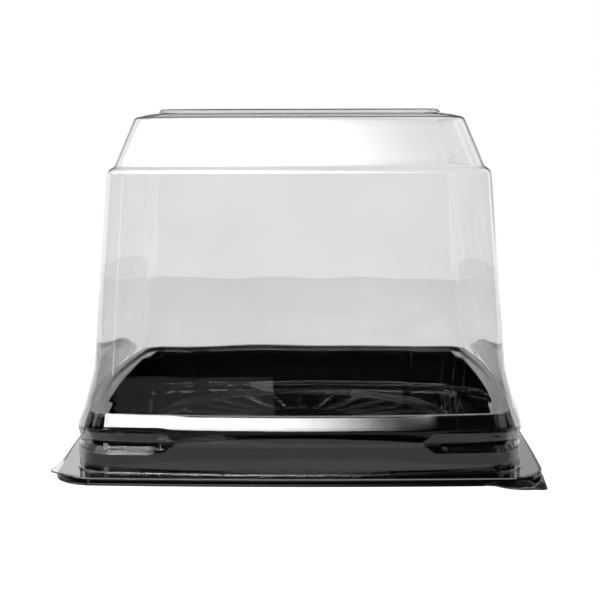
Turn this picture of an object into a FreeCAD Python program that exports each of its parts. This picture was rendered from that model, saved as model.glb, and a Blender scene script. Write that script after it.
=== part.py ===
"""Cake box in thin formed plastic: a black tray with a deep well and a clear dome lid that lifts off.

Both parts are one sheet drawn over a mould, so each is an outside form less the same form one
sheet further in. Every form is a stack of plan outlines, each a square with bowed sides and
round corners. The origin is at the middle of the footprint, pull tab included, on the surface
that the tray stands on; +Z is up, and -Y is the front.
"""
import FreeCAD, Part
import Sketcher
from collections import namedtuple
import math
import os

SIZES = {
    # the sheet, and the room left between the two parts
    "sheet": 0.5, "stack_gap": 0.3, "snap_room": 1.0, "rim_room": 1.0, "overrun": 2.0,
    # the tray's plan, from the shelf inside its rim outwards
    "shelf_half": 90.5, "rim_width": 3.4, "bulge_overhang": 2.5, "undercut": 3.7, "skirt_draft": 0.9,
    "flange_width": 8.7, "foot_width": 1.1,
    "flange_bow": 2.0, "skirt_bow": 2.4, "rim_bow": 5.3,
    "flange_corner": 17.0, "skirt_corner": 13.0, "bulge_corner": 14.0, "rim_corner": 12.0,
    # the tray's heights, each from the one below
    "lip_height": 2.4, "skirt_height": 12.4, "undercut_height": 6.0, "rim_height": 5.6, "shelf_depth": 1.2,
    # the tray's well, with a panel set back in each wall and a ring embossed on the floor
    "shelf_width": 4.5, "well_depth": 20.7, "well_draft": 2.1, "well_bow": 3.0, "well_corner": 6.5,
    "cove": 2.6, "panel_half": 60.0, "panel_depth": 2.5, "panel_run": 12.0, "panel_rise": 7.5,
    "ring_radius": 67.0, "ring_half": 1.6, "ring_height": 1.2,
    # the grooves round the tray's corners
    "groove_start": 54.0, "groove_low": 7.4, "groove_slope": 3.4, "groove_floor": 2.4, "groove_depth": 3.0,
    "groove_corner": 10.3,
    # the tray's pull tab at the front right corner
    "tab_length": 24.0, "tab_inset": 1.8, "tab_throat": 6.0, "tab_belly": 4.5,
    # the lid's skirt, with a neck round each corner
    "lid_overhang": 0.7, "lid_bow": 5.0, "lid_bulge": 0.5, "lid_skirt_drop": 3.5,
    "lid_skirt_corner": 14.5, "lid_bulge_corner": 15.4, "crease_corner": 12.5,
    "neck_depth": 0.8, "neck_drop": 4.8, "neck_height": 4.0,
    # the lid's pull tab at the front left corner
    "ear_reach": 2.6, "ear_tip": 7.0, "ear_back": 12.0, "ear_side": 9.5, "ear_fore": 14.4,
    # the lid's wall, ledge, crown and boss, each from the one below
    "crease_rise": 1.5, "flare_height": 15.8, "flare_inset": 5.1, "wall_height": 82.9, "wall_inset": 8.9,
    "ledge_rise": 1.6, "ledge_width": 2.5, "crown_height": 19.4, "crown_inset": 7.3,
    "shoulder_rise": 2.4, "shoulder_inset": 5.0, "top_rise": 0.7, "top_inset": 4.6,
    "boss_height": 1.4, "boss_inset": 1.2,
    "wall_bow": 3.9, "top_bow": 1.5,
    "flare_corner": 11.0, "ledge_corner": 9.0, "crown_corner": 9.5, "boss_corner": 7.5,
}

Level = namedtuple("Level", "height half bow corner")

document = FreeCAD.newDocument("cake_box")
sheet = document.addObject("Spreadsheet::Sheet", "sizes")
for row, (word, size) in enumerate(SIZES.items(), start=1):
    sheet.set(f"A{row}", word)
    sheet.set(f"B{row}", str(size))
    sheet.setAlias(f"B{row}", word)
document.recompute()


def total(*words):
    """The formula for a sum of named sizes; a word with a minus in front is taken away."""
    text = "0"
    for word in words:
        sign = "-" if word.startswith("-") else "+"
        text += f" {sign} sizes.{word.lstrip('-')}"
    return f"({text})"


def value(formula):
    """What a formula comes to, in millimetres."""
    return float(sheet.evalExpression(formula.replace("sizes.", "")))


# half widths in plan, each from the one further in
WELL_HALF = total("shelf_half", "-shelf_width")
RIM_HALF = total("shelf_half", "rim_width")
BULGE_HALF = f"({RIM_HALF} + sizes.bulge_overhang)"
SKIRT_TOP_HALF = f"({BULGE_HALF} - sizes.undercut)"
SKIRT_FOOT_HALF = f"({SKIRT_TOP_HALF} + sizes.skirt_draft)"
FLANGE_HALF = f"({SKIRT_FOOT_HALF} + sizes.flange_width)"
FOOT_HALF = f"({FLANGE_HALF} + sizes.foot_width)"
LID_SKIRT_HALF = f"({BULGE_HALF} + sizes.snap_room + sizes.sheet)"
CREASE_HALF = f"({RIM_HALF} + sizes.rim_room + sizes.sheet)"
FLANGE_CENTRE = f"({FLANGE_HALF} - sizes.flange_bow - sizes.flange_corner)"

# the tray's pull tab: its tip, its throat on the foot's edge, the arc that bows out between them
# and how far in front of the middle that arc reaches
FOOT_CORNER = total("flange_corner", "foot_width")
TAB_TIP = (f"({FLANGE_CENTRE} + {FOOT_CORNER} - sizes.tab_inset)", f"({FLANGE_CENTRE} + sizes.tab_length)")
TAB_THROAT = (f"({FLANGE_CENTRE} - sizes.tab_throat)", f"({FLANGE_CENTRE} + {FOOT_CORNER})")
TAB_CHORD = f"sqrt(({TAB_TIP[0]} - {TAB_THROAT[0]})^2 + ({TAB_TIP[1]} - {TAB_THROAT[1]})^2)"
TAB_RADIUS = f"(({TAB_CHORD}^2 / 4 + sizes.tab_belly^2) / (2 * sizes.tab_belly))"
TAB_SINK = f"(({TAB_RADIUS} - sizes.tab_belly) * ({TAB_TIP[0]} - {TAB_THROAT[0]}) / {TAB_CHORD})"
TAB_REACH = f"(({TAB_TIP[1]} + {TAB_THROAT[1]}) / 2 - {TAB_SINK} + {TAB_RADIUS})"
# the origin is at the middle of the whole footprint, which the tab lengthens at the front
MIDDLE_SHIFT = f"(({TAB_REACH} - {FOOT_HALF}) / 2)"

# heights over the surface that the tray stands on
FLANGE_TOP = total("lip_height")
SKIRT_TOP = total("lip_height", "skirt_height")
BULGE_TOP = f"({SKIRT_TOP} + sizes.undercut_height)"
RIM_TOP = f"({BULGE_TOP} + sizes.rim_height)"
SHELF_TOP = f"({RIM_TOP} - sizes.shelf_depth)"
WELL_FLOOR = f"({SHELF_TOP} - sizes.well_depth)"
GROOVE_LOW = total("lip_height", "groove_low")
LID_FOOT = f"({FLANGE_TOP} + sizes.stack_gap)"
NECK = f"({BULGE_TOP} - sizes.neck_drop)"
NECK_FOOT = f"({NECK} - sizes.neck_height / 2)"
NECK_TOP = f"({NECK} + sizes.neck_height / 2)"


def own_plane(body, role):
    """A body's own origin plane, found by its role."""
    return next(item for item in body.Origin.OriginFeatures if item.Role == role)


def sketch_on(body, name, role="XY_Plane", height="0"):
    """An empty sketch on one of the body's planes, lifted to a height."""
    sketch = body.newObject("Sketcher::SketchObject", name)
    sketch.AttachmentSupport = [(own_plane(body, role), "")]
    sketch.MapMode = "FlatFace"
    sketch.setExpression("AttachmentOffset.Base.z", height)
    return sketch


def constrain(sketch, shape_rules, dimensions):
    """Adds the rules of shape and the dimensions, and ties each dimension to its formula."""
    rules = [Sketcher.Constraint(*rule) for rule in shape_rules]
    rules += [Sketcher.Constraint(kind, *places, value(formula)) for kind, places, formula in dimensions]
    sketch.addConstraint(rules)
    for index, (_, _, formula) in enumerate(dimensions, start=len(shape_rules)):
        sketch.setExpression(f"Constraints[{index}]", formula)


def across(side, edge, point, formula):
    """The dimension for how far a point stands to one side of the middle."""
    return ("DistanceX", (-1, 1, edge, point) if side > 0 else (edge, point, -1, 1), formula)


def fore(side, edge, point, formula):
    """The dimension for how far a point stands above the middle of its plane, or below it."""
    return ("DistanceY", (-1, 1, edge, point) if side > 0 else (edge, point, -1, 1), formula)


def bowed_square(body, name, level, inset="0"):
    """A square outline with bowed sides: four corner arcs joined by four long arcs, all tangent.

    The corner arcs' centres stand at c = half - bow - corner. A side arc that touches both of its
    corner arcs and bows out by the bow has the radius (bow^2 + 2 bow r + c^2) / (2 bow).
    """
    sketch = sketch_on(body, name, height=level.height)
    centre = f"({level.half} - {level.bow} - {level.corner})"
    corner = f"({level.corner} - {inset})"
    side = f"(({level.bow}^2 + 2 * {level.bow} * {corner} + {centre}^2) / (2 * {level.bow}))"
    reach = value(f"{level.half} - {inset}")
    c, r, long_r = value(centre), value(corner), value(side)
    turn = math.atan2(c, c - (reach - long_r))
    normal = FreeCAD.Vector(0, 0, 1)
    for quarter in range(4):
        start = quarter * math.pi / 2
        spin = FreeCAD.Rotation(normal, math.degrees(start))
        side_centre = spin.multVec(FreeCAD.Vector(reach - long_r, 0, 0))
        corner_centre = spin.multVec(FreeCAD.Vector(c, c, 0))
        side_circle = Part.Circle(side_centre, normal, long_r)
        corner_circle = Part.Circle(corner_centre, normal, r)
        sketch.addGeometry(Part.ArcOfCircle(side_circle, start - turn, start + turn), False)
        sketch.addGeometry(Part.ArcOfCircle(corner_circle, start + turn, start + math.pi / 2 - turn), False)
    rules = [("Tangent", edge, 2, (edge + 1) % 8, 1) for edge in range(8)]
    rules += [("Equal", edge % 2, edge) for edge in range(2, 8)]
    dimensions = [("Radius", (0,), side), ("Radius", (1,), corner)]
    for edge, right, up in ((1, 1, 1), (3, -1, 1), (5, -1, -1), (7, 1, -1)):
        dimensions += [across(right, edge, 3, centre), fore(up, edge, 3, centre)]
    constrain(sketch, rules, dimensions)
    return sketch


def stack(body, name, levels, inset="0"):
    """A solid that goes straight from each plan outline to the next one up."""
    rings = [bowed_square(body, f"{name}_{number}", level, inset) for number, level in enumerate(levels)]
    loft = body.newObject("PartDesign::AdditiveLoft", name)
    loft.Profile = rings[0]
    loft.Sections = rings[1:]
    loft.Ruled = True
    return loft


def slab(body, name, level, inset, thickness):
    """A flat plate with one plan outline."""
    pad = body.newObject("PartDesign::Pad", name)
    pad.Profile = bowed_square(body, f"{name}_outline", level, inset)
    pad.setExpression("Length", thickness)
    return pad


def new_body(name):
    return document.addObject("PartDesign::Body", name)


def boolean(kind, name, base, tool):
    """One boolean of two document objects."""
    result = document.addObject(f"Part::{kind}", name)
    result.Base = base
    result.Tool = tool
    return result


def polygon(sketch, corners):
    """The rules and dimensions of a closed outline of straight runs, drawn in the sketch.

    A corner is a side and a distance out from the middle, then a side and a distance up from it.
    """
    first = sketch.GeometryCount
    count = len(corners)
    points = [FreeCAD.Vector(right * value(out), up * value(reach), 0) for right, out, up, reach in corners]
    for start, end in zip(points, points[1:] + points[:1]):
        sketch.addGeometry(Part.LineSegment(start, end), False)
    rules = [("Coincident", first + edge, 2, first + (edge + 1) % count, 1) for edge in range(count)]
    dimensions = []
    for edge, (right, out, up, reach) in enumerate(corners, start=first):
        dimensions += [across(right, edge, 1, out), fore(up, edge, 1, reach)]
    return rules, dimensions


def corner_zones(name, low, high, margin):
    """The four corner zones of a groove: bands that come to a point towards the middle of the box,
    seen from the front and from the side, taken where they cross."""
    reach = f"(({high} - {low}) / 2 + {margin})"
    middle = f"(({high} + {low}) / 2)"
    near = f"(sizes.groove_start - sqrt(2) * {margin})"
    shoulder = f"({near} + {reach})"
    far = f"({FOOT_HALF} + sizes.overrun)"
    under, over = f"({middle} - {reach})", f"({middle} + {reach})"
    bands = []
    for role in ("XZ_Plane", "YZ_Plane"):
        body = new_body(f"{name}_{role[:2]}")
        sketch = sketch_on(body, f"{name}_{role[:2]}_ends", role)
        rules, dimensions = [], []
        for side in (1, -1):
            more_rules, more_dimensions = polygon(sketch, [
                (side, near, 1, middle), (side, shoulder, 1, under), (side, far, 1, under),
                (side, far, 1, over), (side, shoulder, 1, over)])
            rules += more_rules
            dimensions += more_dimensions
        constrain(sketch, rules, dimensions)
        pad = body.newObject("PartDesign::Pad", f"{name}_{role[:2]}_band")
        pad.Profile = sketch
        pad.setExpression("Length", f"2 * {far}")
        pad.Midplane = True
        bands.append(body)
    zones = document.addObject("Part::MultiCommon", name)
    zones.Shapes = bands
    return zones


def grooved(name, plain, with_groove, zones):
    """The plain form, cut back to the grooved form within the corner zones."""
    waste = boolean("Cut", f"{name}_waste", zones, with_groove)
    return boolean("Cut", name, plain, waste)


def tab_plate(body, name, side, corners, height, bow=None):
    """A pull tab at a front corner: its corners as distances out to the side and to the front.

    Its edges are straight, but with a bow, given as its height and its radius, the edge after the
    second corner is an arc.
    """
    sketch = sketch_on(body, f"{name}_outline", height=height)
    points = [FreeCAD.Vector(side * value(out), -value(front), 0) for out, front in corners]
    count = len(corners)
    for index, start in enumerate(points):
        end = points[(index + 1) % count]
        if bow and index == 1:
            chord = end - start
            outward = FreeCAD.Vector(-chord.y, chord.x, 0).normalize() * (side * value(bow[0]))
            sketch.addGeometry(Part.Arc(start, (start + end) / 2 + outward, end), False)
        else:
            sketch.addGeometry(Part.LineSegment(start, end), False)
    starts = []
    for index, start in enumerate(points):
        near, far = (sketch.getPoint(index, end).distanceToPoint(start) for end in (1, 2))
        starts.append(1 if near < far else 2)
    rules = [("Coincident", index, 3 - starts[index], (index + 1) % count, starts[(index + 1) % count])
             for index in range(count)]
    dimensions = []
    for index, (out, front) in enumerate(corners):
        dimensions += [across(side, index, starts[index], out), fore(-1, index, starts[index], front)]
    if bow:
        dimensions.append(("Radius", (1,), bow[1]))
    constrain(sketch, rules, dimensions)
    pad = body.newObject("PartDesign::Pad", name)
    pad.Profile = sketch
    pad.setExpression("Length", "sizes.sheet")
    return pad


def tray_levels(groove):
    """The tray's wall from its flange up to its rim, with or without the corner groove."""
    foot = Level(FLANGE_TOP, SKIRT_FOOT_HALF, "sizes.skirt_bow", "sizes.skirt_corner")
    top = Level(SKIRT_TOP, SKIRT_TOP_HALF, "sizes.skirt_bow", "sizes.skirt_corner")
    bulge = Level(BULGE_TOP, BULGE_HALF, "sizes.rim_bow", "sizes.bulge_corner")
    rim = Level(RIM_TOP, RIM_HALF, "sizes.rim_bow", "sizes.rim_corner")
    if not groove:
        return [foot, top, bulge, rim]
    low = foot._replace(height=GROOVE_LOW)
    floor = Level(f"({GROOVE_LOW} + sizes.groove_slope)", f"({SKIRT_FOOT_HALF} - sizes.groove_depth)",
                  "sizes.skirt_bow", "sizes.groove_corner")
    ceiling = floor._replace(height=f"({floor.height} + sizes.groove_floor)")
    return [foot, low, floor, ceiling, bulge, rim]


def shifted(levels, height, first=0):
    """The levels from the first one named on, moved up by a formula."""
    return [level._replace(height=f"({level.height} + {height})") if number >= first else level
            for number, level in enumerate(levels)]


def tray_form(name, inset, groove):
    """The tray's raised form above its flange, one solid."""
    body = new_body(name)
    levels = tray_levels(groove)
    levels[0] = levels[0]._replace(height=f"({levels[0].height} - {inset})")
    levels[-1] = levels[-1]._replace(height=f"({levels[-1].height} - {inset})")
    stack(body, f"{name}_wall", levels, inset)
    return body


def well_levels(step, margin):
    """The well's outlines from its floor up, its wall moved in by a step and out by a margin."""
    floor = f"({WELL_FLOOR} - {margin})"
    top = Level(f"({RIM_TOP} + sizes.overrun)", f"({WELL_HALF} - {step} + {margin})", "sizes.well_bow",
                f"(sizes.well_corner - {step} + {margin})")
    cove_top = top._replace(height=f"({floor} + sizes.cove)", half=f"({top.half} - sizes.well_draft)")
    cove_foot = top._replace(height=floor, half=f"({cove_top.half} - sizes.cove)")
    return [cove_foot, cove_top, top]


def well_form(name, margin):
    """The space in the tray's well: narrow at its corners, with a panel set back in each wall."""
    narrow = new_body(f"{name}_narrow")
    stack(narrow, f"{name}_narrow_wall", well_levels("sizes.panel_depth", margin))
    wide = new_body(f"{name}_wide")
    stack(wide, f"{name}_wide_wall", well_levels("0", margin))
    slant = "(sqrt(sizes.panel_run^2 + sizes.panel_rise^2) / sizes.panel_rise)"
    half = f"(sizes.panel_half + {margin} * {slant})"
    slim = f"({half} - sizes.panel_run)"
    near = f"({WELL_HALF} - 2 * sizes.panel_depth)"
    far = f"({near} + sizes.panel_rise)"
    corners = [(1, half, 1, near), (1, slim, 1, far), (-1, slim, 1, far), (-1, half, 1, near),
               (-1, half, -1, near), (-1, slim, -1, far), (1, slim, -1, far), (1, half, -1, near)]
    sideways = [(-up, reach, right, out) for right, out, up, reach in corners]
    panels = []
    for word, outline in (("end", corners), ("side", sideways)):
        body = new_body(f"{name}_{word}_bar")
        sketch = sketch_on(body, f"{name}_{word}_outline", height=f"({WELL_FLOOR} - {margin})")
        constrain(sketch, *polygon(sketch, outline))
        pad = body.newObject("PartDesign::Pad", f"{name}_{word}_pad")
        pad.Profile = sketch
        pad.setExpression("Length", total("well_depth", "shelf_depth", "overrun"))
        panel = document.addObject("Part::MultiCommon", f"{name}_{word}_panel")
        panel.Shapes = [wide, body]
        panels.append(panel)
    well = document.addObject("Part::MultiFuse", name)
    well.Shapes = [narrow] + panels
    return well


def floor_ring(name, height, margin):
    """The round ridge on the well's floor, made slimmer by a margin."""
    body = new_body(name)
    sketch = sketch_on(body, f"{name}_outline", height=height)
    dimensions = []
    for edge, sign in enumerate("+-"):
        radius = f"(sizes.ring_radius {sign} (sizes.ring_half - {margin}))"
        sketch.addGeometry(Part.Circle(FreeCAD.Vector(), FreeCAD.Vector(0, 0, 1), value(radius)), False)
        dimensions.append(("Radius", (edge,), radius))
    constrain(sketch, [("Coincident", edge, 3, -1, 1) for edge in range(len(dimensions))], dimensions)
    pad = body.newObject("PartDesign::Pad", f"{name}_ridge")
    pad.Profile = sketch
    pad.setExpression("Length", "sizes.ring_height")
    return body


def base_tray():
    """The tray: well with its floor ring, shelf, rim, bulge, grooved skirt, flange, lip, foot and tab."""
    shelf = Level(SHELF_TOP, "sizes.shelf_half", "sizes.rim_bow", "(sizes.rim_corner - sizes.rim_width)")
    lip = Level("0", FLANGE_HALF, "sizes.flange_bow", "sizes.flange_corner")
    foot = Level("0", FOOT_HALF, "sizes.flange_bow", FOOT_CORNER)

    walls = {}
    for part, inset in (("outside", "0"), ("inside", "sizes.sheet")):
        zones = corner_zones(f"tray_{part}_zones", GROOVE_LOW, BULGE_TOP, inset)
        plain = tray_form(f"tray_{part}_plain", inset, groove=False)
        with_groove = tray_form(f"tray_{part}_groove", inset, groove=True)
        wall = grooved(f"tray_{part}_wall", plain, with_groove, zones)
        cuts = new_body(f"tray_{part}_shelf")
        slab(cuts, f"tray_{part}_shelf_cut", shelf._replace(height=f"({SHELF_TOP} - {inset})"), f"(-{inset})",
             total("shelf_depth", "overrun"))
        well = document.addObject("Part::MultiFuse", f"tray_{part}_space")
        well.Shapes = [cuts, well_form(f"tray_{part}_well", inset)]
        walls[part] = boolean("Cut", f"tray_{part}_form", wall, well)

    rim = new_body("tray_foot")
    slab(rim, "tray_foot_plate", foot, "0", "sizes.sheet")
    corners = [(f"({FLANGE_CENTRE} + {FOOT_CORNER})", FLANGE_CENTRE), TAB_TIP, TAB_THROAT,
               (FLANGE_CENTRE, FLANGE_CENTRE)]
    tab_plate(rim, "tray_tab", 1, corners, "0", ("sizes.tab_belly", TAB_RADIUS))
    slab(rim, "tray_lip", lip, "0", FLANGE_TOP)

    hollow = new_body("tray_hollow")
    slab(hollow, "tray_lip_hollow", lip._replace(height="-sizes.overrun"), "sizes.sheet",
         f"({FLANGE_TOP} + sizes.overrun - sizes.sheet)")

    raised = document.addObject("Part::MultiFuse", "tray_raised")
    raised.Shapes = [walls["outside"], rim, floor_ring("tray_ring", WELL_FLOOR, "0")]
    inside = document.addObject("Part::MultiFuse", "tray_inside")
    inside.Shapes = [walls["inside"], hollow,
                     floor_ring("tray_ring_under", f"({WELL_FLOOR} - sizes.sheet)", "sizes.sheet")]
    return boolean("Cut", "base_tray", raised, inside)


def lid_wall_levels():
    """The lid's wall from its crease at the tray's rim up to the boss on its top."""
    crease_z = f"({RIM_TOP} + sizes.crease_rise)"
    steps = [("flare_height", "flare_inset", "wall_bow", "flare_corner"),
             ("wall_height", "wall_inset", "top_bow", "ledge_corner"),
             ("ledge_rise", "ledge_width", "top_bow", "ledge_corner"),
             ("crown_height", "crown_inset", "top_bow", "crown_corner"),
             ("shoulder_rise", "shoulder_inset", "top_bow", "crown_corner"),
             ("top_rise", "top_inset", "top_bow", "boss_corner"),
             ("boss_height", "boss_inset", "top_bow", "boss_corner")]
    levels = [Level(crease_z, CREASE_HALF, "sizes.lid_bow", "sizes.crease_corner")]
    for rise, inset, bow, corner in steps:
        below = levels[-1]
        levels.append(Level(f"({below.height} + sizes.{rise})", f"({below.half} - sizes.{inset})",
                            f"sizes.{bow}", f"sizes.{corner}"))
    return levels


def lid_form(name, inset):
    """The lid's whole form above its flange; the inside runs on down through the flange."""
    body = new_body(name)
    skirt = Level(lid_foot(inset), LID_SKIRT_HALF, "sizes.lid_bow", "sizes.lid_skirt_corner")
    skirt_top = skirt._replace(height=f"({BULGE_TOP} - sizes.lid_skirt_drop)")
    bulge = Level(BULGE_TOP, f"({LID_SKIRT_HALF} + sizes.lid_bulge)", "sizes.lid_bow",
                  "sizes.lid_bulge_corner")
    walls = lid_wall_levels()
    if inset != "0":
        walls = shifted(walls, "(-sizes.sheet)", first=2)
    stack(body, f"{name}_wall", [skirt, skirt_top, bulge] + walls, inset)
    return body


def lid_foot(inset):
    """The height that the lid's outside or inside form starts from."""
    return f"({LID_FOOT} - sizes.overrun)" if inset != "0" else LID_FOOT


def lid_neck(name, inset):
    """A plain block that the lid's skirt is cut back to where its corners have a neck."""
    body = new_body(name)
    neck = Level(lid_foot(inset), f"({LID_SKIRT_HALF} - sizes.neck_depth)", "sizes.lid_bow",
                 "(sizes.lid_skirt_corner - sizes.neck_depth)")
    slab(body, f"{name}_block", neck, inset, f"({BULGE_TOP} - {neck.height})")
    return body


def dome_lid():
    """The lid: flange with its pull tab, skirt, bulge, flared wall, ledge, crown and boss."""
    corner = total("flange_corner", "lid_overhang")
    flange = Level(LID_FOOT, f"({FLANGE_HALF} + sizes.lid_overhang)", "sizes.flange_bow", corner)
    forms = {}
    for part, inset in (("outside", "0"), ("inside", "sizes.sheet")):
        zones = corner_zones(f"lid_{part}_zones", NECK_FOOT, NECK_TOP, inset)
        plain = lid_form(f"lid_{part}_plain", inset)
        forms[part] = grooved(f"lid_{part}_wall", plain, lid_neck(f"lid_{part}_neck", inset), zones)
    rim = new_body("lid_flange")
    slab(rim, "lid_flange_plate", flange, "0", "sizes.sheet")
    corners = [(f"({FLANGE_CENTRE} + {corner})", f"({FLANGE_CENTRE} - sizes.ear_back)"),
               (f"({FLANGE_CENTRE} + {corner} + sizes.ear_reach)", f"({FLANGE_CENTRE} + sizes.ear_tip)"),
               (f"({FLANGE_CENTRE} + sizes.ear_side)", f"({FLANGE_CENTRE} + sizes.ear_fore)"),
               (FLANGE_CENTRE, FLANGE_CENTRE)]
    tab_plate(rim, "lid_tab", -1, corners, LID_FOOT)
    outside = document.addObject("Part::MultiFuse", "lid_outside")
    outside.Shapes = [forms["outside"], rim]
    return boolean("Cut", "dome_lid", outside, forms["inside"])


parts = [base_tray(), dome_lid()]
for part in parts:
    part.Label = part.Name
    part.setExpression("Placement.Base.y", MIDDLE_SHIFT)
document.recompute()

failed = [item.Name for item in document.Objects if {"Invalid", "Error"} & set(item.State)]
if failed:
    raise RuntimeError(f"failed: {failed}")
os.makedirs("parts", exist_ok=True)
for part in parts:
    shape = part.Shape
    if shape.isNull() or not shape.isValid():
        raise RuntimeError(f"{part.Label} has no valid solid")
    shape.exportStep(f"parts/{part.Label}.step")
    box = shape.BoundBox
    print(part.Label, "solids", len(shape.Solids), "volume", round(shape.Volume), "box", box)
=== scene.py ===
"""A cake box of thin formed plastic: a black tray with a deep well under a tall clear dome lid.

Sizes of the box are in millimetres, measured from the middle of its own plan and the surface that
it stands on. A row of a profile is a height, a half width, the bow of the sides and the radius of
the corners; a column is a place round that plan. The set round the box is in metres.
"""
import math
from collections import namedtuple

import bpy
import numpy as np
from mathutils import Matrix, Vector


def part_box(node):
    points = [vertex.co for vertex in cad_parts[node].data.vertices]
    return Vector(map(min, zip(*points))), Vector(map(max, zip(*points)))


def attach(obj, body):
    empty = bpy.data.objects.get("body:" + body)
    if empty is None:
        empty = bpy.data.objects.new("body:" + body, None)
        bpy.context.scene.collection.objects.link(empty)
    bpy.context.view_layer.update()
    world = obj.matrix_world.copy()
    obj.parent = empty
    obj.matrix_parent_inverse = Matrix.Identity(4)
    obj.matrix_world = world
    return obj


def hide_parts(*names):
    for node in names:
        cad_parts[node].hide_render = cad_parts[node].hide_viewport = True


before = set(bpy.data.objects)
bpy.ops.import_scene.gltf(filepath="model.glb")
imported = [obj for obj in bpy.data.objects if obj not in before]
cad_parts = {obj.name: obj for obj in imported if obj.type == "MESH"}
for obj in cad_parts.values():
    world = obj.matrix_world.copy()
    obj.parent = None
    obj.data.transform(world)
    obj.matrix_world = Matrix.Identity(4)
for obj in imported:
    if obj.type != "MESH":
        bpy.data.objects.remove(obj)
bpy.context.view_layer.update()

MM = 0.001
SHEET = 0.5
lid_low, lid_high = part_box("dome_lid")
MIDDLE_Y = (lid_low.y + lid_high.y) / 2 / MM

# ---------------------------------------------------------------- shapes

Columns = namedtuple("Columns", "quarter corner share")
MOST_OF_RUN = 0.48
BEYOND_SIDE = 200.0


def columns(corner_steps):
    """Places round a plan: right side, back right corner, back side and so on to the front right
    corner, with a number of steps for each corner.

    A side's shares run from -1 to 1, close together where the corner grooves and wall panels end.
    """
    spread = np.linspace(0, 0.62, 8)[1:]
    close = np.linspace(0.66, 0.88, 14)
    by_corner = np.array([0.91, 0.94, 0.97])
    half_side = np.concatenate([spread, close, by_corner])
    side = np.concatenate([-half_side[::-1], [0.0], half_side])
    quarter, corner, share = [], [], []
    for number, steps in enumerate(corner_steps):
        places = np.concatenate([side, np.linspace(0, 1, steps)])
        quarter.append(np.full(len(places), number))
        corner.append(np.arange(len(places)) >= len(side))
        share.append(places)
    return Columns(np.concatenate(quarter), np.concatenate(corner), np.concatenate(share))


def straight_run(start, end, steps):
    """Even steps from the start to the end, without the start itself."""
    return start + (end - start) * np.linspace(0, 1, steps + 1)[1:, None]


def eased(table, eases, steps, bend=4):
    """Goes straight from each row of a table to the next, and rounds each bend with a parabola.

    The parabola starts and ends at an ease's length from the bend, or just short of half the run.
    """
    table = np.asarray(table, float)
    runs = np.linalg.norm(np.diff(table[:, :2], axis=0), axis=1)
    start, parts = table[0], [table[:1]]
    share = np.linspace(0, 1, bend + 1)[1:, None]
    for number in range(1, len(table) - 1):
        corner, ease = table[number], eases[number]
        before = corner + (table[number - 1] - corner) * min(ease / runs[number - 1], MOST_OF_RUN)
        after = corner + (table[number + 1] - corner) * min(ease / runs[number], MOST_OF_RUN)
        parts.append(straight_run(start, before, steps[number - 1]))
        parts.append((1 - share) ** 2 * before + 2 * share * (1 - share) * corner + share ** 2 * after)
        start = after
    parts.append(straight_run(start, table[-1], steps[-1]))
    return np.concatenate(parts)


def smooth(value, low, high):
    """Nought below low, one above high, and the smooth cubic step 3s^2 - 2s^3 between them."""
    share = np.clip((value - low) / (high - low), 0, 1)
    return share * share * (3 - 2 * share)


def plan(rows, cols):
    """The bowed square of each row at each column: its round centre, its radius and its direction.

    With c = half - bow - corner, a corner's arc is centred at (c, c). A side's arc bows out by the
    bow and touches both corner arcs, so its radius is (bow^2 + 2 bow corner + c^2) / (2 bow).
    """
    _, half, bow, corner = rows.T[:, :, None]
    centre = half - bow - corner
    side = (bow ** 2 + 2 * bow * corner + centre ** 2) / (2 * bow)
    turn = np.arctan2(centre, centre - (half - side))
    angle = np.where(cols.corner, turn + cols.share * (math.pi / 2 - 2 * turn), cols.share * turn)
    u_centre = np.where(cols.corner, centre, half - side)
    v_centre = np.where(cols.corner, centre, 0)
    radius = np.where(cols.corner, corner, side)
    return u_centre, v_centre, radius, angle


def along_side(rows, cols):
    """How far a column stands from the middle of its side; a corner's columns count as beyond it."""
    _, _, radius, angle = plan(rows, cols)
    return np.where(cols.corner, BEYOND_SIDE, np.abs(radius * np.sin(angle)))


def placed(rows, cols, inward=0.0, lift=0.0):
    """The points of a profile carried round its plan, moved in along the plan's normal and lifted."""
    u_centre, v_centre, radius, angle = plan(rows, cols)
    u = u_centre + (radius - inward) * np.cos(angle)
    v = v_centre + (radius - inward) * np.sin(angle)
    spin = cols.quarter * math.pi / 2
    x = u * np.cos(spin) - v * np.sin(spin)
    y = u * np.sin(spin) + v * np.cos(spin)
    z = rows[:, :1] + lift + 0 * x
    return np.stack([x, y, z], axis=2)


def run_out(outline, cols, quarter, path):
    """How far beyond a plan outline its pull tab reaches at each column: where the outline's normal
    meets the tab's edge, a path of (u, v) points in that quarter's own directions."""
    u_centre, v_centre, radius, angle = (part[0] for part in plan(outline, cols))
    u, v = u_centre + radius * np.cos(angle), v_centre + radius * np.sin(angle)
    start = np.stack([u, v], axis=1)[:, None]
    away = np.stack([np.cos(angle), np.sin(angle)], axis=1)[:, None]
    edge = np.diff(path, axis=0)[None]
    gap = path[None, :-1] - start
    cross = away[..., 0] * edge[..., 1] - away[..., 1] * edge[..., 0]
    cross = np.where(np.abs(cross) < 1e-9, 1e-9, cross)
    far = (gap[..., 0] * edge[..., 1] - gap[..., 1] * edge[..., 0]) / cross
    place = (gap[..., 0] * away[..., 1] - gap[..., 1] * away[..., 0]) / cross
    met = np.where((place >= 0) & (place <= 1) & (far > 0), far, 0).max(axis=1)
    return np.where(cols.quarter == quarter, met, 0)


def pull_tab(edge, cols, quarter, path, steps):
    """The rows of a pull tab's plate, from its own edge in to the outline that it grows from, and its
    reach at each column: a row is the outline moved out by an even share of the reach."""
    outline = np.array([edge])
    reach = run_out(outline, cols, quarter, path)
    shares = np.linspace(1, 0, steps + 1)[:-1]
    return placed(np.repeat(outline, steps, axis=0), cols, -shares[:, None] * reach), reach


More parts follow.
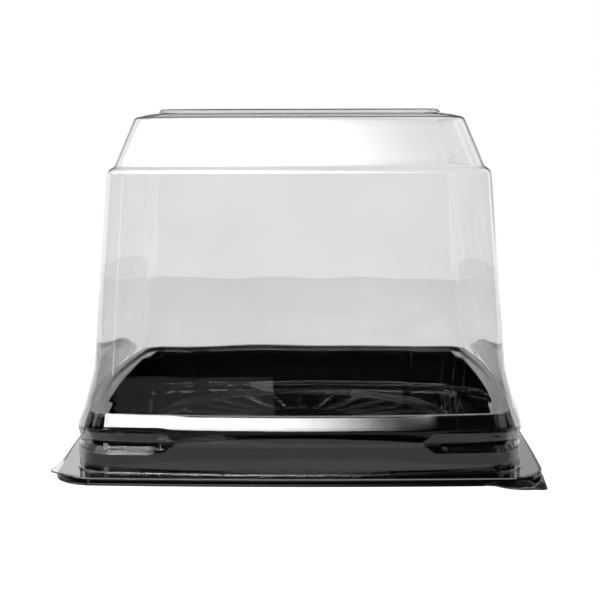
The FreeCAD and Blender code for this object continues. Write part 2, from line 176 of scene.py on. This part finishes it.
def arc_path(start, end, belly, steps=24):
    """Points from start to end on a shallow parabola that stands out by the belly in the middle."""
    start, end = np.asarray(start, float), np.asarray(end, float)
    chord = end - start
    out = np.array([-chord[1], chord[0]]) / np.linalg.norm(chord)
    share = np.linspace(0, 1, steps + 1)[:, None]
    return start + chord * share + out * 4 * belly * share * (1 - share)


def eased_path(corners, eases):
    """A path of straight runs through points in the plane, with each bend rounded."""
    flat = [(u, v, 0) for u, v in corners]
    return eased(flat, eases, [1] * (len(corners) - 1), bend=6)[:, :2]


def drawn_depth(z, heights, depths, blur):
    """How deep the sheet is drawn in at a height: straight between the given heights, with the bends
    softened by the mean of a reading a blur below, one at the height and one a blur above."""
    readings = [np.interp(z + offset, heights, depths) for offset in (-blur, 0, blur)]
    return sum(readings) / len(readings)


def capsule_share(along, z, start, middle, radius, ramp):
    """One inside a round-ended band that begins at a distance along the side, nought outside it."""
    reach = np.sqrt(np.clip(radius ** 2 - (z - middle) ** 2, 0, None))
    return smooth(along, start + radius - reach, start + radius - reach + ramp)


def waves(points, size, length, seed, count=5):
    """The slow swell of a formed sheet: sine waves in fixed directions, added up."""
    chance = np.random.default_rng(seed)
    swell = np.zeros(points.shape[:2])
    for _ in range(count):
        way = chance.normal(size=3)
        way /= np.linalg.norm(way)
        swell += np.sin(points @ way * (2 * math.pi / (length * chance.uniform(0.7, 1.4)))
                        + chance.uniform(0, 2 * math.pi))
    return size * swell / math.sqrt(count)


def sheet_piece(name, grid, body, node, material, pole=None, thinning=None):
    """A surface of rows and columns that closes round its columns, with a wall of the sheet's
    thickness under it.

    A pole closes the last row to one point. Thinning is the share of the thickness that each point
    of the grid lacks.
    """
    count_rows, count = grid.shape[:2]
    points = grid.reshape(-1, 3).copy()
    points[:, 1] += MIDDLE_Y
    number = np.arange(count_rows * count).reshape(count_rows, count)
    beside = np.roll(number, -1, axis=1)
    faces = np.stack([number[:-1], beside[:-1], beside[1:], number[1:]], axis=2).reshape(-1, 4).tolist()
    if pole is not None:
        points = np.vstack([points, [pole[0], pole[1] + MIDDLE_Y, pole[2]]])
        tip = np.full(count, len(points) - 1)
        faces += np.stack([number[-1], beside[-1], tip], axis=1).tolist()
    mesh = bpy.data.meshes.new(name)
    mesh.from_pydata((points * MM).tolist(), [], faces)
    mesh.shade_smooth()
    mesh.materials.append(material)
    piece = bpy.data.objects.new(name, mesh)
    bpy.context.scene.collection.objects.link(piece)
    wall = piece.modifiers.new("sheet", "SOLIDIFY")
    wall.thickness = SHEET * MM
    wall.offset = -1
    if thinning is not None:
        kept = piece.vertex_groups.new(name="kept_thickness")
        for point, lacks in enumerate(thinning.ravel().tolist()):
            kept.add([point], 1 - lacks, "REPLACE")
        if pole is not None:
            kept.add([len(points) - 1], 1, "REPLACE")
        wall.vertex_group = kept.name
    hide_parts(node)
    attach(piece, body)


# ---------------------------------------------------------------- finishes

CUT_EDGE_FROM = 100.3
UPRIGHT_BELOW = 0.8


def new_material(name):
    """A material with its shader, and what is needed to add nodes to it."""
    material = bpy.data.materials.new(name)
    material.use_nodes = True
    nodes, links = material.node_tree.nodes, material.node_tree.links
    return material, nodes, links, nodes["Principled BSDF"]


def object_noise(nodes, links, scale, detail):
    """Cloudy noise on the piece's own coordinates; scale counts its lumps in a metre."""
    place = nodes.new("ShaderNodeTexCoord")
    noise = nodes.new("ShaderNodeTexNoise")
    noise.inputs["Scale"].default_value = scale
    noise.inputs["Detail"].default_value = detail
    links.new(place.outputs["Object"], noise.inputs["Vector"])
    return noise.outputs["Fac"]


def ranged(nodes, links, source, low, high, to_low, to_high, course="LINEAR"):
    """A number moved from one range to another, and held at that range's ends outside it."""
    box = nodes.new("ShaderNodeMapRange")
    box.interpolation_type = course
    for word, number in (("From Min", low), ("From Max", high), ("To Min", to_low), ("To Max", to_high)):
        box.inputs[word].default_value = number
    links.new(source, box.inputs["Value"])
    return box.outputs["Result"]


def counted(nodes, links, operation, first, second=None, clamp=False):
    """A sum on a number from a node, with a plain number or another node's as the second."""
    node = nodes.new("ShaderNodeMath")
    node.operation = operation
    node.use_clamp = clamp
    links.new(first, node.inputs[0])
    if isinstance(second, (int, float)):
        node.inputs[1].default_value = second
    elif second is not None:
        links.new(second, node.inputs[1])
    return node.outputs["Value"]


def black_sheet():
    """Glossy black sheet: near black, a little cloudy in its gloss, with a faint swell of the mould."""
    material, nodes, links, shader = new_material("black_sheet")
    shader.inputs["Base Color"].default_value = (0.005, 0.005, 0.005, 1)
    shader.inputs["IOR"].default_value = 1.54
    gloss = ranged(nodes, links, object_noise(nodes, links, scale=60, detail=4), 0.35, 0.65, 0.03, 0.07)
    links.new(gloss, shader.inputs["Roughness"])
    swell = nodes.new("ShaderNodeBump")
    swell.inputs["Strength"].default_value = 0.15
    swell.inputs["Distance"].default_value = 0.0004
    links.new(object_noise(nodes, links, scale=130, detail=1), swell.inputs["Height"])
    links.new(swell.outputs["Normal"], shader.inputs["Normal"])
    return material


def cut_edge(nodes, links):
    """One on the upright faces of the flange's cut outline, nought elsewhere: there the larger of
    the distances across and back from the box's middle is past the skirt."""
    place = nodes.new("ShaderNodeTexCoord")
    spot, normal = nodes.new("ShaderNodeSeparateXYZ"), nodes.new("ShaderNodeSeparateXYZ")
    links.new(place.outputs["Object"], spot.inputs["Vector"])
    links.new(place.outputs["Normal"], normal.inputs["Vector"])
    across = counted(nodes, links, "ABSOLUTE", spot.outputs["X"])
    from_middle = counted(nodes, links, "SUBTRACT", spot.outputs["Y"], MIDDLE_Y * MM)
    back = counted(nodes, links, "ABSOLUTE", from_middle)
    slope = counted(nodes, links, "ABSOLUTE", normal.outputs["Z"])
    far = counted(nodes, links, "MAXIMUM", across, back)
    outside = counted(nodes, links, "GREATER_THAN", far, CUT_EDGE_FROM * MM)
    upright = counted(nodes, links, "LESS_THAN", slope, UPRIGHT_BELOW)
    return counted(nodes, links, "MULTIPLY", outside, upright)


def clear_sheet():
    """Clear glossy sheet that lamps shine through, a little cloudy in its tint and gloss, and
    whitish along its cut edge."""
    material, nodes, links, shader = new_material("clear_sheet")
    tint = ranged(nodes, links, object_noise(nodes, links, scale=16, detail=3), 0.35, 0.65, 0.912, 0.955)
    links.new(tint, shader.inputs["Base Color"])
    shader.inputs["IOR"].default_value = 1.57
    clear_share = ranged(nodes, links, cut_edge(nodes, links), 0, 1, 1, 0.72)
    links.new(clear_share, shader.inputs["Transmission Weight"])
    gloss = ranged(nodes, links, object_noise(nodes, links, scale=25, detail=3), 0.35, 0.7, 0.0, 0.03)
    links.new(gloss, shader.inputs["Roughness"])
    path = nodes.new("ShaderNodeLightPath")
    through = nodes.new("ShaderNodeBsdfTransparent")
    through.inputs["Color"].default_value = (0.9, 0.91, 0.91, 1)
    mix = nodes.new("ShaderNodeMixShader")
    links.new(path.outputs["Is Shadow Ray"], mix.inputs["Fac"])
    links.new(shader.outputs["BSDF"], mix.inputs[1])
    links.new(through.outputs["BSDF"], mix.inputs[2])
    links.new(mix.outputs["Shader"], nodes["Material Output"].inputs["Surface"])
    return material


BLACK = black_sheet()
CLEAR = clear_sheet()

# ---------------------------------------------------------------- the tray

CORNER_STEPS = 22

# height, half width, bow, corner radius
TRAY_EDGE = (0.5, 103.4, 2.0, 18.1)
TRAY_WALL = [TRAY_EDGE, (0.5, 102.58, 2.0, 17.28), (2.4, 102.3, 2.0, 17.0), (2.4, 93.6, 2.4, 13.0),
             (14.8, 92.7, 2.4, 13.0), (20.8, 96.4, 5.3, 14.0), (26.4, 93.9, 5.3, 12.0),
             (26.4, 90.5, 5.3, 8.6), (25.2, 90.5, 5.3, 8.6), (25.2, 86.0, 3.0, 6.5),
             (6.6, 83.85, 3.0, 6.5), (4.5, 81.6, 3.0, 6.5), (4.5, 78.5, 3.0, 6.5)]
TRAY_EASES = [0, 0.25, 0.35, 0.6, 1.2, 1.2, 0.5, 0.3, 0.4, 0.7, 0.25, 0.8, 0]
TRAY_STEPS = [1, 2, 4, 26, 14, 5, 3, 1, 3, 6, 1, 1]

# the corners are numbered from the back right one, round to the front right one
TRAY_TAB_CORNER, TRAY_TAB_STEPS = 3, 84
TRAY_TAB = np.vstack([[(83.3, 101.4)], [(106.2, 99.7)], arc_path((107.3, 98.4), (101.4, 77.3), 4.5)])
TAB_BELOW, TAB_FROM = 1.0, 0.05
RAISED_HEIGHT, RAISED_ENDS = 0.55, (172, 180)
CREASE_FRONT, CREASE_OUT = (83.6, 91, 98.0, 103, 107.6), (100.6, 99.5, 97.6, 96.0, 94.0)
CREASE_STARTS, CREASE_ENDS = -0.4, 4.5
DIMPLE_OUT, DIMPLE_FRONT, DIMPLE_HEIGHT, DIMPLE_ENDS = 92.8, 102.3, 1.0, (1.1, 2.5)

GROOVE_START, GROOVE_MIDDLE, GROOVE_RADIUS, GROOVE_RAMP = 53.5, 15.3, 5.5, 2.0
GROOVE_HEIGHTS, GROOVE_DEPTHS, GROOVE_BLUR = (10.1, 13.2, 15.6, 20.8), (0, 2.1, 2.2, 0), 0.3
FAINT_SHARE, FAINT_AHEAD, FAINT_RADIUS, FAINT_RAMP = 0.25, 4.5, 3.3, 1.5
RIM_FROM = 26.39
PANEL_DEPTH, PANEL_ENDS, PANEL_HALF, PANEL_FADE = 2.5, (53.5, 60.5), 89.5, 3.0

FLOOR_LEVEL, FLOOR_EDGE, FLOOR_SHARES = 4.5, 71.5, (0.35, 0.7, 1.0)
UNDER_WALL_FROM, UNDER_WALL_DROP = 72, 0.03
RING_RADIUS, RING_HEIGHT, RING_ENDS = 67.0, 0.9, (0.4, 2.4)
RIBS, RIB_START, RIB_END, RIB_HEIGHT, RIB_ENDS = 26, 30.0, 59.5, 0.5, (0.3, 2.7)
STEPS_TO_RIB = 16


def tray_tab_relief(points):
    """The tab's relief: a raised plate that falls away beyond a curved crease, and a round dimple."""
    out, front = points[..., 0], -points[..., 1]
    crease = np.interp(front, CREASE_FRONT, CREASE_OUT)
    fallen = smooth(out, crease + CREASE_STARTS, crease + CREASE_ENDS)
    raised = RAISED_HEIGHT * smooth(out + front, *RAISED_ENDS) * (1 - fallen)
    from_dimple = np.hypot(out - DIMPLE_OUT, front - DIMPLE_FRONT)
    return raised + DIMPLE_HEIGHT * (1 - smooth(from_dimple, *DIMPLE_ENDS))


def corner_groove(along, z):
    """The groove round each corner: a depth that goes with the height, in a round-ended band, with a
    faint narrower band that starts ahead of it."""
    faint = capsule_share(along, z, GROOVE_START, GROOVE_MIDDLE, FAINT_RADIUS, FAINT_RAMP)
    full = capsule_share(along, z, GROOVE_START + FAINT_AHEAD, GROOVE_MIDDLE, GROOVE_RADIUS, GROOVE_RAMP)
    depth = drawn_depth(z, GROOVE_HEIGHTS, GROOVE_DEPTHS, GROOVE_BLUR)
    return depth * np.maximum(FAINT_SHARE * faint, full)


def build_tray():
    """The tray's wall from its flange's edge, with the pull tab, in over the flange, up skirt, bulge
    and rim, and down the well's wall to the floor, which ends on a circle round the raised ring.

    The wall is drawn in by a groove round each corner below the rim, and in the well by a panel
    towards each corner.
    """
    cols = columns([CORNER_STEPS, CORNER_STEPS, CORNER_STEPS, TRAY_TAB_STEPS])
    plate_points, reach = pull_tab(TRAY_EDGE, cols, TRAY_TAB_CORNER, TRAY_TAB, steps=16)

    rows = eased(TRAY_WALL, TRAY_EASES, TRAY_STEPS)
    along = along_side(rows, cols)
    groove = corner_groove(along, rows[:, :1])
    in_well = np.clip((PANEL_HALF - rows[:, 1:2]) / PANEL_FADE, 0, 1)
    panel = PANEL_DEPTH * smooth(along, *PANEL_ENDS) * in_well
    rim = int(np.argmax(rows[:, 0] >= RIM_FROM))
    below_rim = (np.arange(len(rows)) < rim)[:, None]
    wall_points = placed(rows, cols, np.where(below_rim, groove, panel))

    foot = wall_points[-1]
    circle = foot.copy()
    circle[:, :2] *= FLOOR_EDGE / np.hypot(foot[:, 0], foot[:, 1])[:, None]
    floor = np.stack([foot + (circle - foot) * share for share in FLOOR_SHARES])

    grid = np.concatenate([plate_points, wall_points, floor])
    grid[..., 2] += tray_tab_relief(grid) * (grid[..., 2] < TAB_BELOW) * (reach > TAB_FROM)
    sheet_piece("tray_wall", grid, "tray", "base_tray", BLACK)


def build_tray_floor():
    """The well's floor: a round ridge, and ribs that run in towards the middle like a sun's rays.

    A rib's height falls with the distance from its middle line, so its ends are round.
    """
    under_wall, under_ring = [72.5, 70.5], np.linspace(69.6, 64.4, 9)
    rib_ends, rib_middles = np.linspace(63.0, 56.0, 9), np.linspace(53, 35, 5)
    rib_starts, inside = np.linspace(32, 25, 8), [20.0, 12.0, 5.0]
    radius = np.concatenate([under_wall, under_ring, rib_ends, rib_middles, rib_starts, inside])[:, None]
    count = RIBS * STEPS_TO_RIB
    angle = (np.arange(count) + 0.5) * 2 * math.pi / count
    pitch = 2 * math.pi / RIBS
    nearest = (np.floor(angle / pitch) + 0.5) * pitch
    across = radius * np.sin(angle - nearest)
    along = radius * np.cos(angle - nearest)
    beyond = np.maximum(np.maximum(along - RIB_END, RIB_START - along), 0)
    rib = RIB_HEIGHT * (1 - smooth(np.hypot(across, beyond), *RIB_ENDS))
    ring = RING_HEIGHT * (1 - smooth(np.abs(radius - RING_RADIUS), *RING_ENDS))
    z = FLOOR_LEVEL - UNDER_WALL_DROP * (radius > UNDER_WALL_FROM) + rib + ring
    grid = np.stack([radius * np.cos(angle), radius * np.sin(angle), z], axis=2)
    sheet_piece("tray_floor", grid, "tray", "base_tray", BLACK, pole=(0, 0, FLOOR_LEVEL))


# ---------------------------------------------------------------- the lid

# height, half width, bow, corner radius
LID_EDGE = (3.2, 103.0, 2.0, 17.7)
LID_WALL = [LID_EDGE, (3.2, 97.9, 5.0, 14.5), (20.0, 98.0, 5.0, 14.6), (21.4, 98.0, 5.0, 14.6),
            (27.9, 95.4, 5.0, 12.5), (43.7, 90.3, 3.9, 11.0), (126.6, 81.4, 1.5, 9.0),
            (128.2, 78.9, 1.5, 9.0), (148.4, 71.2, 1.5, 9.5), (150.0, 66.6, 1.5, 9.5),
            (150.7, 62.0, 1.5, 7.5), (152.1, 60.8, 1.5, 7.5), (152.1, 40.0, 1.5, 7.5)]
LID_EASES = [0, 0.5, 0.6, 0.6, 0.7, 1.4, 2.2, 0.6, 1.2, 2.0, 0.3, 0.3, 0]
LID_STEPS = [3, 14, 1, 10, 8, 16, 1, 6, 1, 2, 1, 2]
LID_TOP, BOSS_SHARES = 152.1, (0.55, 0.2)

LID_TAB_CORNER, LID_TAB_STEPS = 2, 50
LID_TAB = eased_path([(101.0, 71.3), (103.6, 90.3), (92.8, 97.7), (86.0, 101.0)], [0, 3.0, 3.0, 0])
NECK_MIDDLE, NECK_RADIUS, NECK_RAMP = 16.4, 4.4, 2.4
NECK_HEIGHTS, NECK_DEPTHS, NECK_BLUR = (12.8, 15.4, 16.8, 19.6), (0, 0.8, 0.8, 0), 0.4
DIP_HEIGHTS, DIP_DEPTHS, DIP_ENDS = (21.5, 27.9, 43.7), (0, 1.3, 0), (44, 58)
WALL_STARTS, WALL_ENDS = (30, 50), (120, 126)
SWELL_SIZE, SWELL_LENGTH, SWELL_SEED = 0.05, 62, 3
THIN_MEAN, THIN_SIZE, THIN_LENGTH, THIN_SEED, THIN_MOST = 0.12, 0.08, 34, 8, 0.4
THIN_AT_SIDES, SIDES_FROM = 0.25, (66, 80)


def tall_wall_share(z):
    """One on the lid's tall wall, nought on the skirt below it and the crown above it."""
    return smooth(z, *WALL_STARTS) * (1 - smooth(z, *WALL_ENDS))


def lid_thinning(points):
    """The share of its thickness that the sheet lost as it was formed: slow waves about a mean, on
    the tall wall alone, and less at the sides than in front and at the back."""
    front_or_back = 1 - smooth(np.abs(points[..., 0]), *SIDES_FROM)
    formed = tall_wall_share(points[..., 2]) * (THIN_AT_SIDES + (1 - THIN_AT_SIDES) * front_or_back)
    return np.clip(THIN_MEAN + waves(points, THIN_SIZE, THIN_LENGTH, THIN_SEED), 0, THIN_MOST) * formed


def build_lid():
    """The lid from its flange's edge, with the pull tab, up skirt, bulge, crease, flare, wall, ledge
    and crown to the boss on top.

    The skirt's corners are drawn in, so that they snap in under the tray's bulge. The crease dips
    between the corners, and the wall swells a little.
    """
    cols = columns([CORNER_STEPS, CORNER_STEPS, LID_TAB_STEPS, CORNER_STEPS])
    plate_points, _ = pull_tab(LID_EDGE, cols, LID_TAB_CORNER, LID_TAB, steps=6)

    rows = eased(LID_WALL, LID_EASES, LID_STEPS)
    z = rows[:, :1]
    along = along_side(rows, cols)
    neck = (drawn_depth(z, NECK_HEIGHTS, NECK_DEPTHS, NECK_BLUR)
            * capsule_share(along, z, GROOVE_START, NECK_MIDDLE, NECK_RADIUS, NECK_RAMP))
    dip = np.interp(z, DIP_HEIGHTS, DIP_DEPTHS) * (1 - smooth(along, *DIP_ENDS))
    plain = placed(rows, cols, neck, -dip)
    swell = waves(plain, SWELL_SIZE, SWELL_LENGTH, SWELL_SEED) * tall_wall_share(z)
    wall_points = placed(rows, cols, neck + swell, -dip)

    boss = np.stack([wall_points[-1] * (share, share, 1) for share in BOSS_SHARES])
    grid = np.concatenate([plate_points, wall_points, boss])
    sheet_piece("lid_dome", grid, "lid", "dome_lid", CLEAR, pole=(0, 0, LID_TOP),
                thinning=lid_thinning(grid))


build_tray()
build_tray_floor()
build_lid()

# ---------------------------------------------------------------- stage, light and camera

FLOOR_SIDE, FLOOR_BACK, FLOOR_Z = 4.0, 0.70, -5e-5
LAMP_SIDE, LAMP_AIM = 1.0, (0, 0, 0.07)
CAMERA_LENS, CAMERA_SENSOR, CAMERA_REACH = 73.5, 36, (0.01, 50)
CAMERA_PLACE = (7.61, -583.85, 135.8)
CAMERA_TURN = (0.81, -7.09, -0.16)


def card_material(name, strength):
    """Plain glow that shows only in reflections: what looks straight at it looks through it."""
    material, nodes, links, _ = new_material(name)
    nodes.clear()
    path = nodes.new("ShaderNodeLightPath")
    glow = nodes.new("ShaderNodeEmission")
    glow.inputs["Strength"].default_value = strength
    clear = nodes.new("ShaderNodeBsdfTransparent")
    mix = nodes.new("ShaderNodeMixShader")
    out = nodes.new("ShaderNodeOutputMaterial")
    links.new(ranged(nodes, links, path.outputs["Glossy Depth"], 0, 1, 0, 1), mix.inputs["Fac"])
    links.new(clear.outputs["BSDF"], mix.inputs[1])
    links.new(glow.outputs["Emission"], mix.inputs[2])
    links.new(mix.outputs["Shader"], out.inputs["Surface"])
    return material, nodes, links, glow


def stand(name, mesh, material):
    """Puts a card on the set, hidden from everything but reflections."""
    mesh.materials.append(material)
    thing = bpy.data.objects.new(name, mesh)
    bpy.context.scene.collection.objects.link(thing)
    thing.visible_camera = thing.visible_diffuse = thing.visible_shadow = False
    thing.visible_volume_scatter = False


def card(name, corners, strength, fade=None):
    """A flat card round the set that only reflections show, from its four corners.

    Its glow is the strength. With a fade, (lean, start, end), it falls smoothly to nought while
    x + lean z goes from the start to the end.
    """
    mesh = bpy.data.meshes.new(name)
    mesh.from_pydata([Vector(corner) for corner in corners], [], [(0, 1, 2, 3)])
    material, nodes, links, glow = card_material(name, strength)
    if fade:
        lean, start, end = fade
        place = nodes.new("ShaderNodeTexCoord")
        across = nodes.new("ShaderNodeVectorMath")
        across.operation = "DOT_PRODUCT"
        across.inputs[1].default_value = (1, 0, lean)
        links.new(place.outputs["Object"], across.inputs[0])
        ramp = ranged(nodes, links, across.outputs["Value"], start, end, strength, 0, "SMOOTHSTEP")
        links.new(ramp, glow.inputs["Strength"])
    stand(name, mesh, material)


def across_set(left, right, y, low, high):
    """The corners of an upright card that stands across the set."""
    return [(left, y, low), (right, y, low), (right, y, high), (left, y, high)]


def along_set(x, front, back, low, high):
    """The corners of an upright card that stands along one side of the set."""
    return [(x, front, low), (x, back, low), (x, back, high), (x, front, high)]


def front_ring(name, inner, outer, height, strength, steps=48):
    """A flat half ring of even glow in front, near the floor, that only reflections show."""
    angle = np.linspace(math.pi, 2 * math.pi, steps)
    around = np.stack([np.cos(angle), np.sin(angle)], axis=1)
    level = np.full(steps, height)
    points = np.concatenate([np.column_stack([around * radius, level]) for radius in (inner, outer)])
    number = np.arange(steps - 1)
    faces = np.stack([number, number + 1, number + 1 + steps, number + steps], axis=1)
    mesh = bpy.data.meshes.new(name)
    mesh.from_pydata(points.tolist(), [], faces.tolist())
    stand(name, mesh, card_material(name, strength)[0])


def not_lighting(nodes, links):
    """One for what the camera, gloss or a clear sheet sees, nought for what lights a surface."""
    path = nodes.new("ShaderNodeLightPath")
    seen = path.outputs["Is Camera Ray"]
    for word in ("Is Glossy Ray", "Is Transmission Ray"):
        seen = counted(nodes, links, "ADD", seen, path.outputs[word], clamp=True)
    return seen


def build_floor():
    """A white floor that keeps a faint shadow: it glows for the camera, gloss and clear sheets.

    Some way behind the box it ends, and the brighter white of the world begins.
    """
    mesh = bpy.data.meshes.new("floor")
    mesh.from_pydata([(-FLOOR_SIDE, -FLOOR_SIDE, FLOOR_Z), (FLOOR_SIDE, -FLOOR_SIDE, FLOOR_Z),
                      (FLOOR_SIDE, FLOOR_BACK, FLOOR_Z), (-FLOOR_SIDE, FLOOR_BACK, FLOOR_Z)],
                     [], [(0, 1, 2, 3)])
    material, nodes, links, shader = new_material("floor")
    shader.inputs["Base Color"].default_value = (0.5, 0.5, 0.5, 1)
    shader.inputs["Roughness"].default_value = 1
    shader.inputs["Specular IOR Level"].default_value = 0
    shader.inputs["Emission Color"].default_value = (1, 1, 1, 1)
    path = nodes.new("ShaderNodeLightPath")
    level = ranged(nodes, links, path.outputs["Is Camera Ray"], 0, 1, 0.55, 1.0)
    glow = counted(nodes, links, "MULTIPLY", not_lighting(nodes, links), level)
    links.new(glow, shader.inputs["Emission Strength"])
    mesh.materials.append(material)
    floor = bpy.data.objects.new("floor", mesh)
    bpy.context.scene.collection.objects.link(floor)


def build_world():
    """White for the camera, gloss and clear sheets, and a dim fill for the rest."""
    world = bpy.data.worlds.new("studio")
    bpy.context.scene.world = world
    world.use_nodes = True
    nodes, links = world.node_tree.nodes, world.node_tree.links
    nodes.clear()
    level = ranged(nodes, links, not_lighting(nodes, links), 0, 1, 0.4, 1.0)
    back = nodes.new("ShaderNodeBackground")
    back.inputs["Color"].default_value = (1, 1, 1, 1)
    links.new(level, back.inputs["Strength"])
    out = nodes.new("ShaderNodeOutputWorld")
    links.new(back.outputs["Background"], out.inputs["Surface"])


def lamp(name, place, watts):
    """A soft square lamp that only lights; the cards stand for it in reflections."""
    data = bpy.data.lights.new(name, "AREA")
    data.shape = "RECTANGLE"
    data.size = data.size_y = LAMP_SIDE
    data.energy = watts
    light = bpy.data.objects.new(name, data)
    bpy.context.scene.collection.objects.link(light)
    light.location = place
    light.rotation_mode = "QUATERNION"
    light.rotation_quaternion = (Vector(LAMP_AIM) - Vector(place)).to_track_quat("-Z", "Y")
    light.visible_camera = light.visible_glossy = light.visible_transmission = False


def build_camera():
    """The photograph's view: a little to the right of the middle, from just under the lid's top.

    The camera is turned by its heading, pitch and roll, in degrees.
    """
    data = bpy.data.cameras.new("camera")
    data.lens = CAMERA_LENS
    data.sensor_width = CAMERA_SENSOR
    data.clip_start, data.clip_end = CAMERA_REACH
    camera = bpy.data.objects.new("camera", data)
    bpy.context.scene.collection.objects.link(camera)
    x, y, z = CAMERA_PLACE
    place = Vector((x, y + MIDDLE_Y, z)) * MM
    heading, pitch, roll = (math.radians(degrees) for degrees in CAMERA_TURN)
    turn = (Matrix.Rotation(heading, 4, "Z") @ Matrix.Rotation(math.pi / 2 + pitch, 4, "X")
            @ Matrix.Rotation(roll, 4, "Z"))
    camera.matrix_world = Matrix.Translation(place) @ turn
    bpy.context.scene.camera = camera


build_floor()
build_world()
card("dark_front", across_set(-4, 4, -2.4, 0, 3), 0)
card("dark_ceiling", [(-1.8, -2.4, 2.4), (1.8, -2.4, 2.4), (1.8, 3.2, 2.4), (-1.8, 3.2, 2.4)], 0.15)
card("dark_back", across_set(-4, 4, 2.9, 0.92, 2.4), 0.08)
card("dark_left", along_set(-2.4, -2.4, 0.5, 0, 1.05), 0)
card("dark_right", along_set(2.4, -2.4, 0.5, 0, 1.05), 0)
card("grey_right", along_set(2.4, -2.4, 0.5, 1.05, 2.4), 0.5)
card("left_light", [(-0.88, -1.58, 1.15), (-1.7, 0.1, 0.8), (-1.6, 0.1, 2.2), (-0.86, -0.85, 2.2)], 4)
card("left_strip", across_set(-1.16, -1.02, -2.2, 0.02, 0.65), 2)
card("grey_back_right", across_set(0.5, 4, 3.0, 0, 3), 0.55)
front_ring("dark_floor", inner=0.166, outer=3.0, height=0.0004, strength=0)
front_ring("grey_floor", inner=0.06, outer=0.166, height=0.0003, strength=0.42)
card("softbox", [(-0.86, -1.6, 0.95), (0.9, -1.6, 0.95), (0.9, -0.85, 2.2), (-0.86, -0.85, 2.2)], 9,
     fade=(0.36, 0.25, 0.87))
card("grey_panel", across_set(-1.01, -0.155, -2.2, 0.77, 1.02), 0.15)
card("panel_end", across_set(-0.26, -0.155, -2.19, 0.89, 0.975), 1.2)
lamp("key", (-0.7, -1.2, 1.5), watts=12)
lamp("fill", (0.9, -0.6, 1.6), watts=6)
build_camera()
bpy.context.scene.view_settings.view_transform = "Standard"
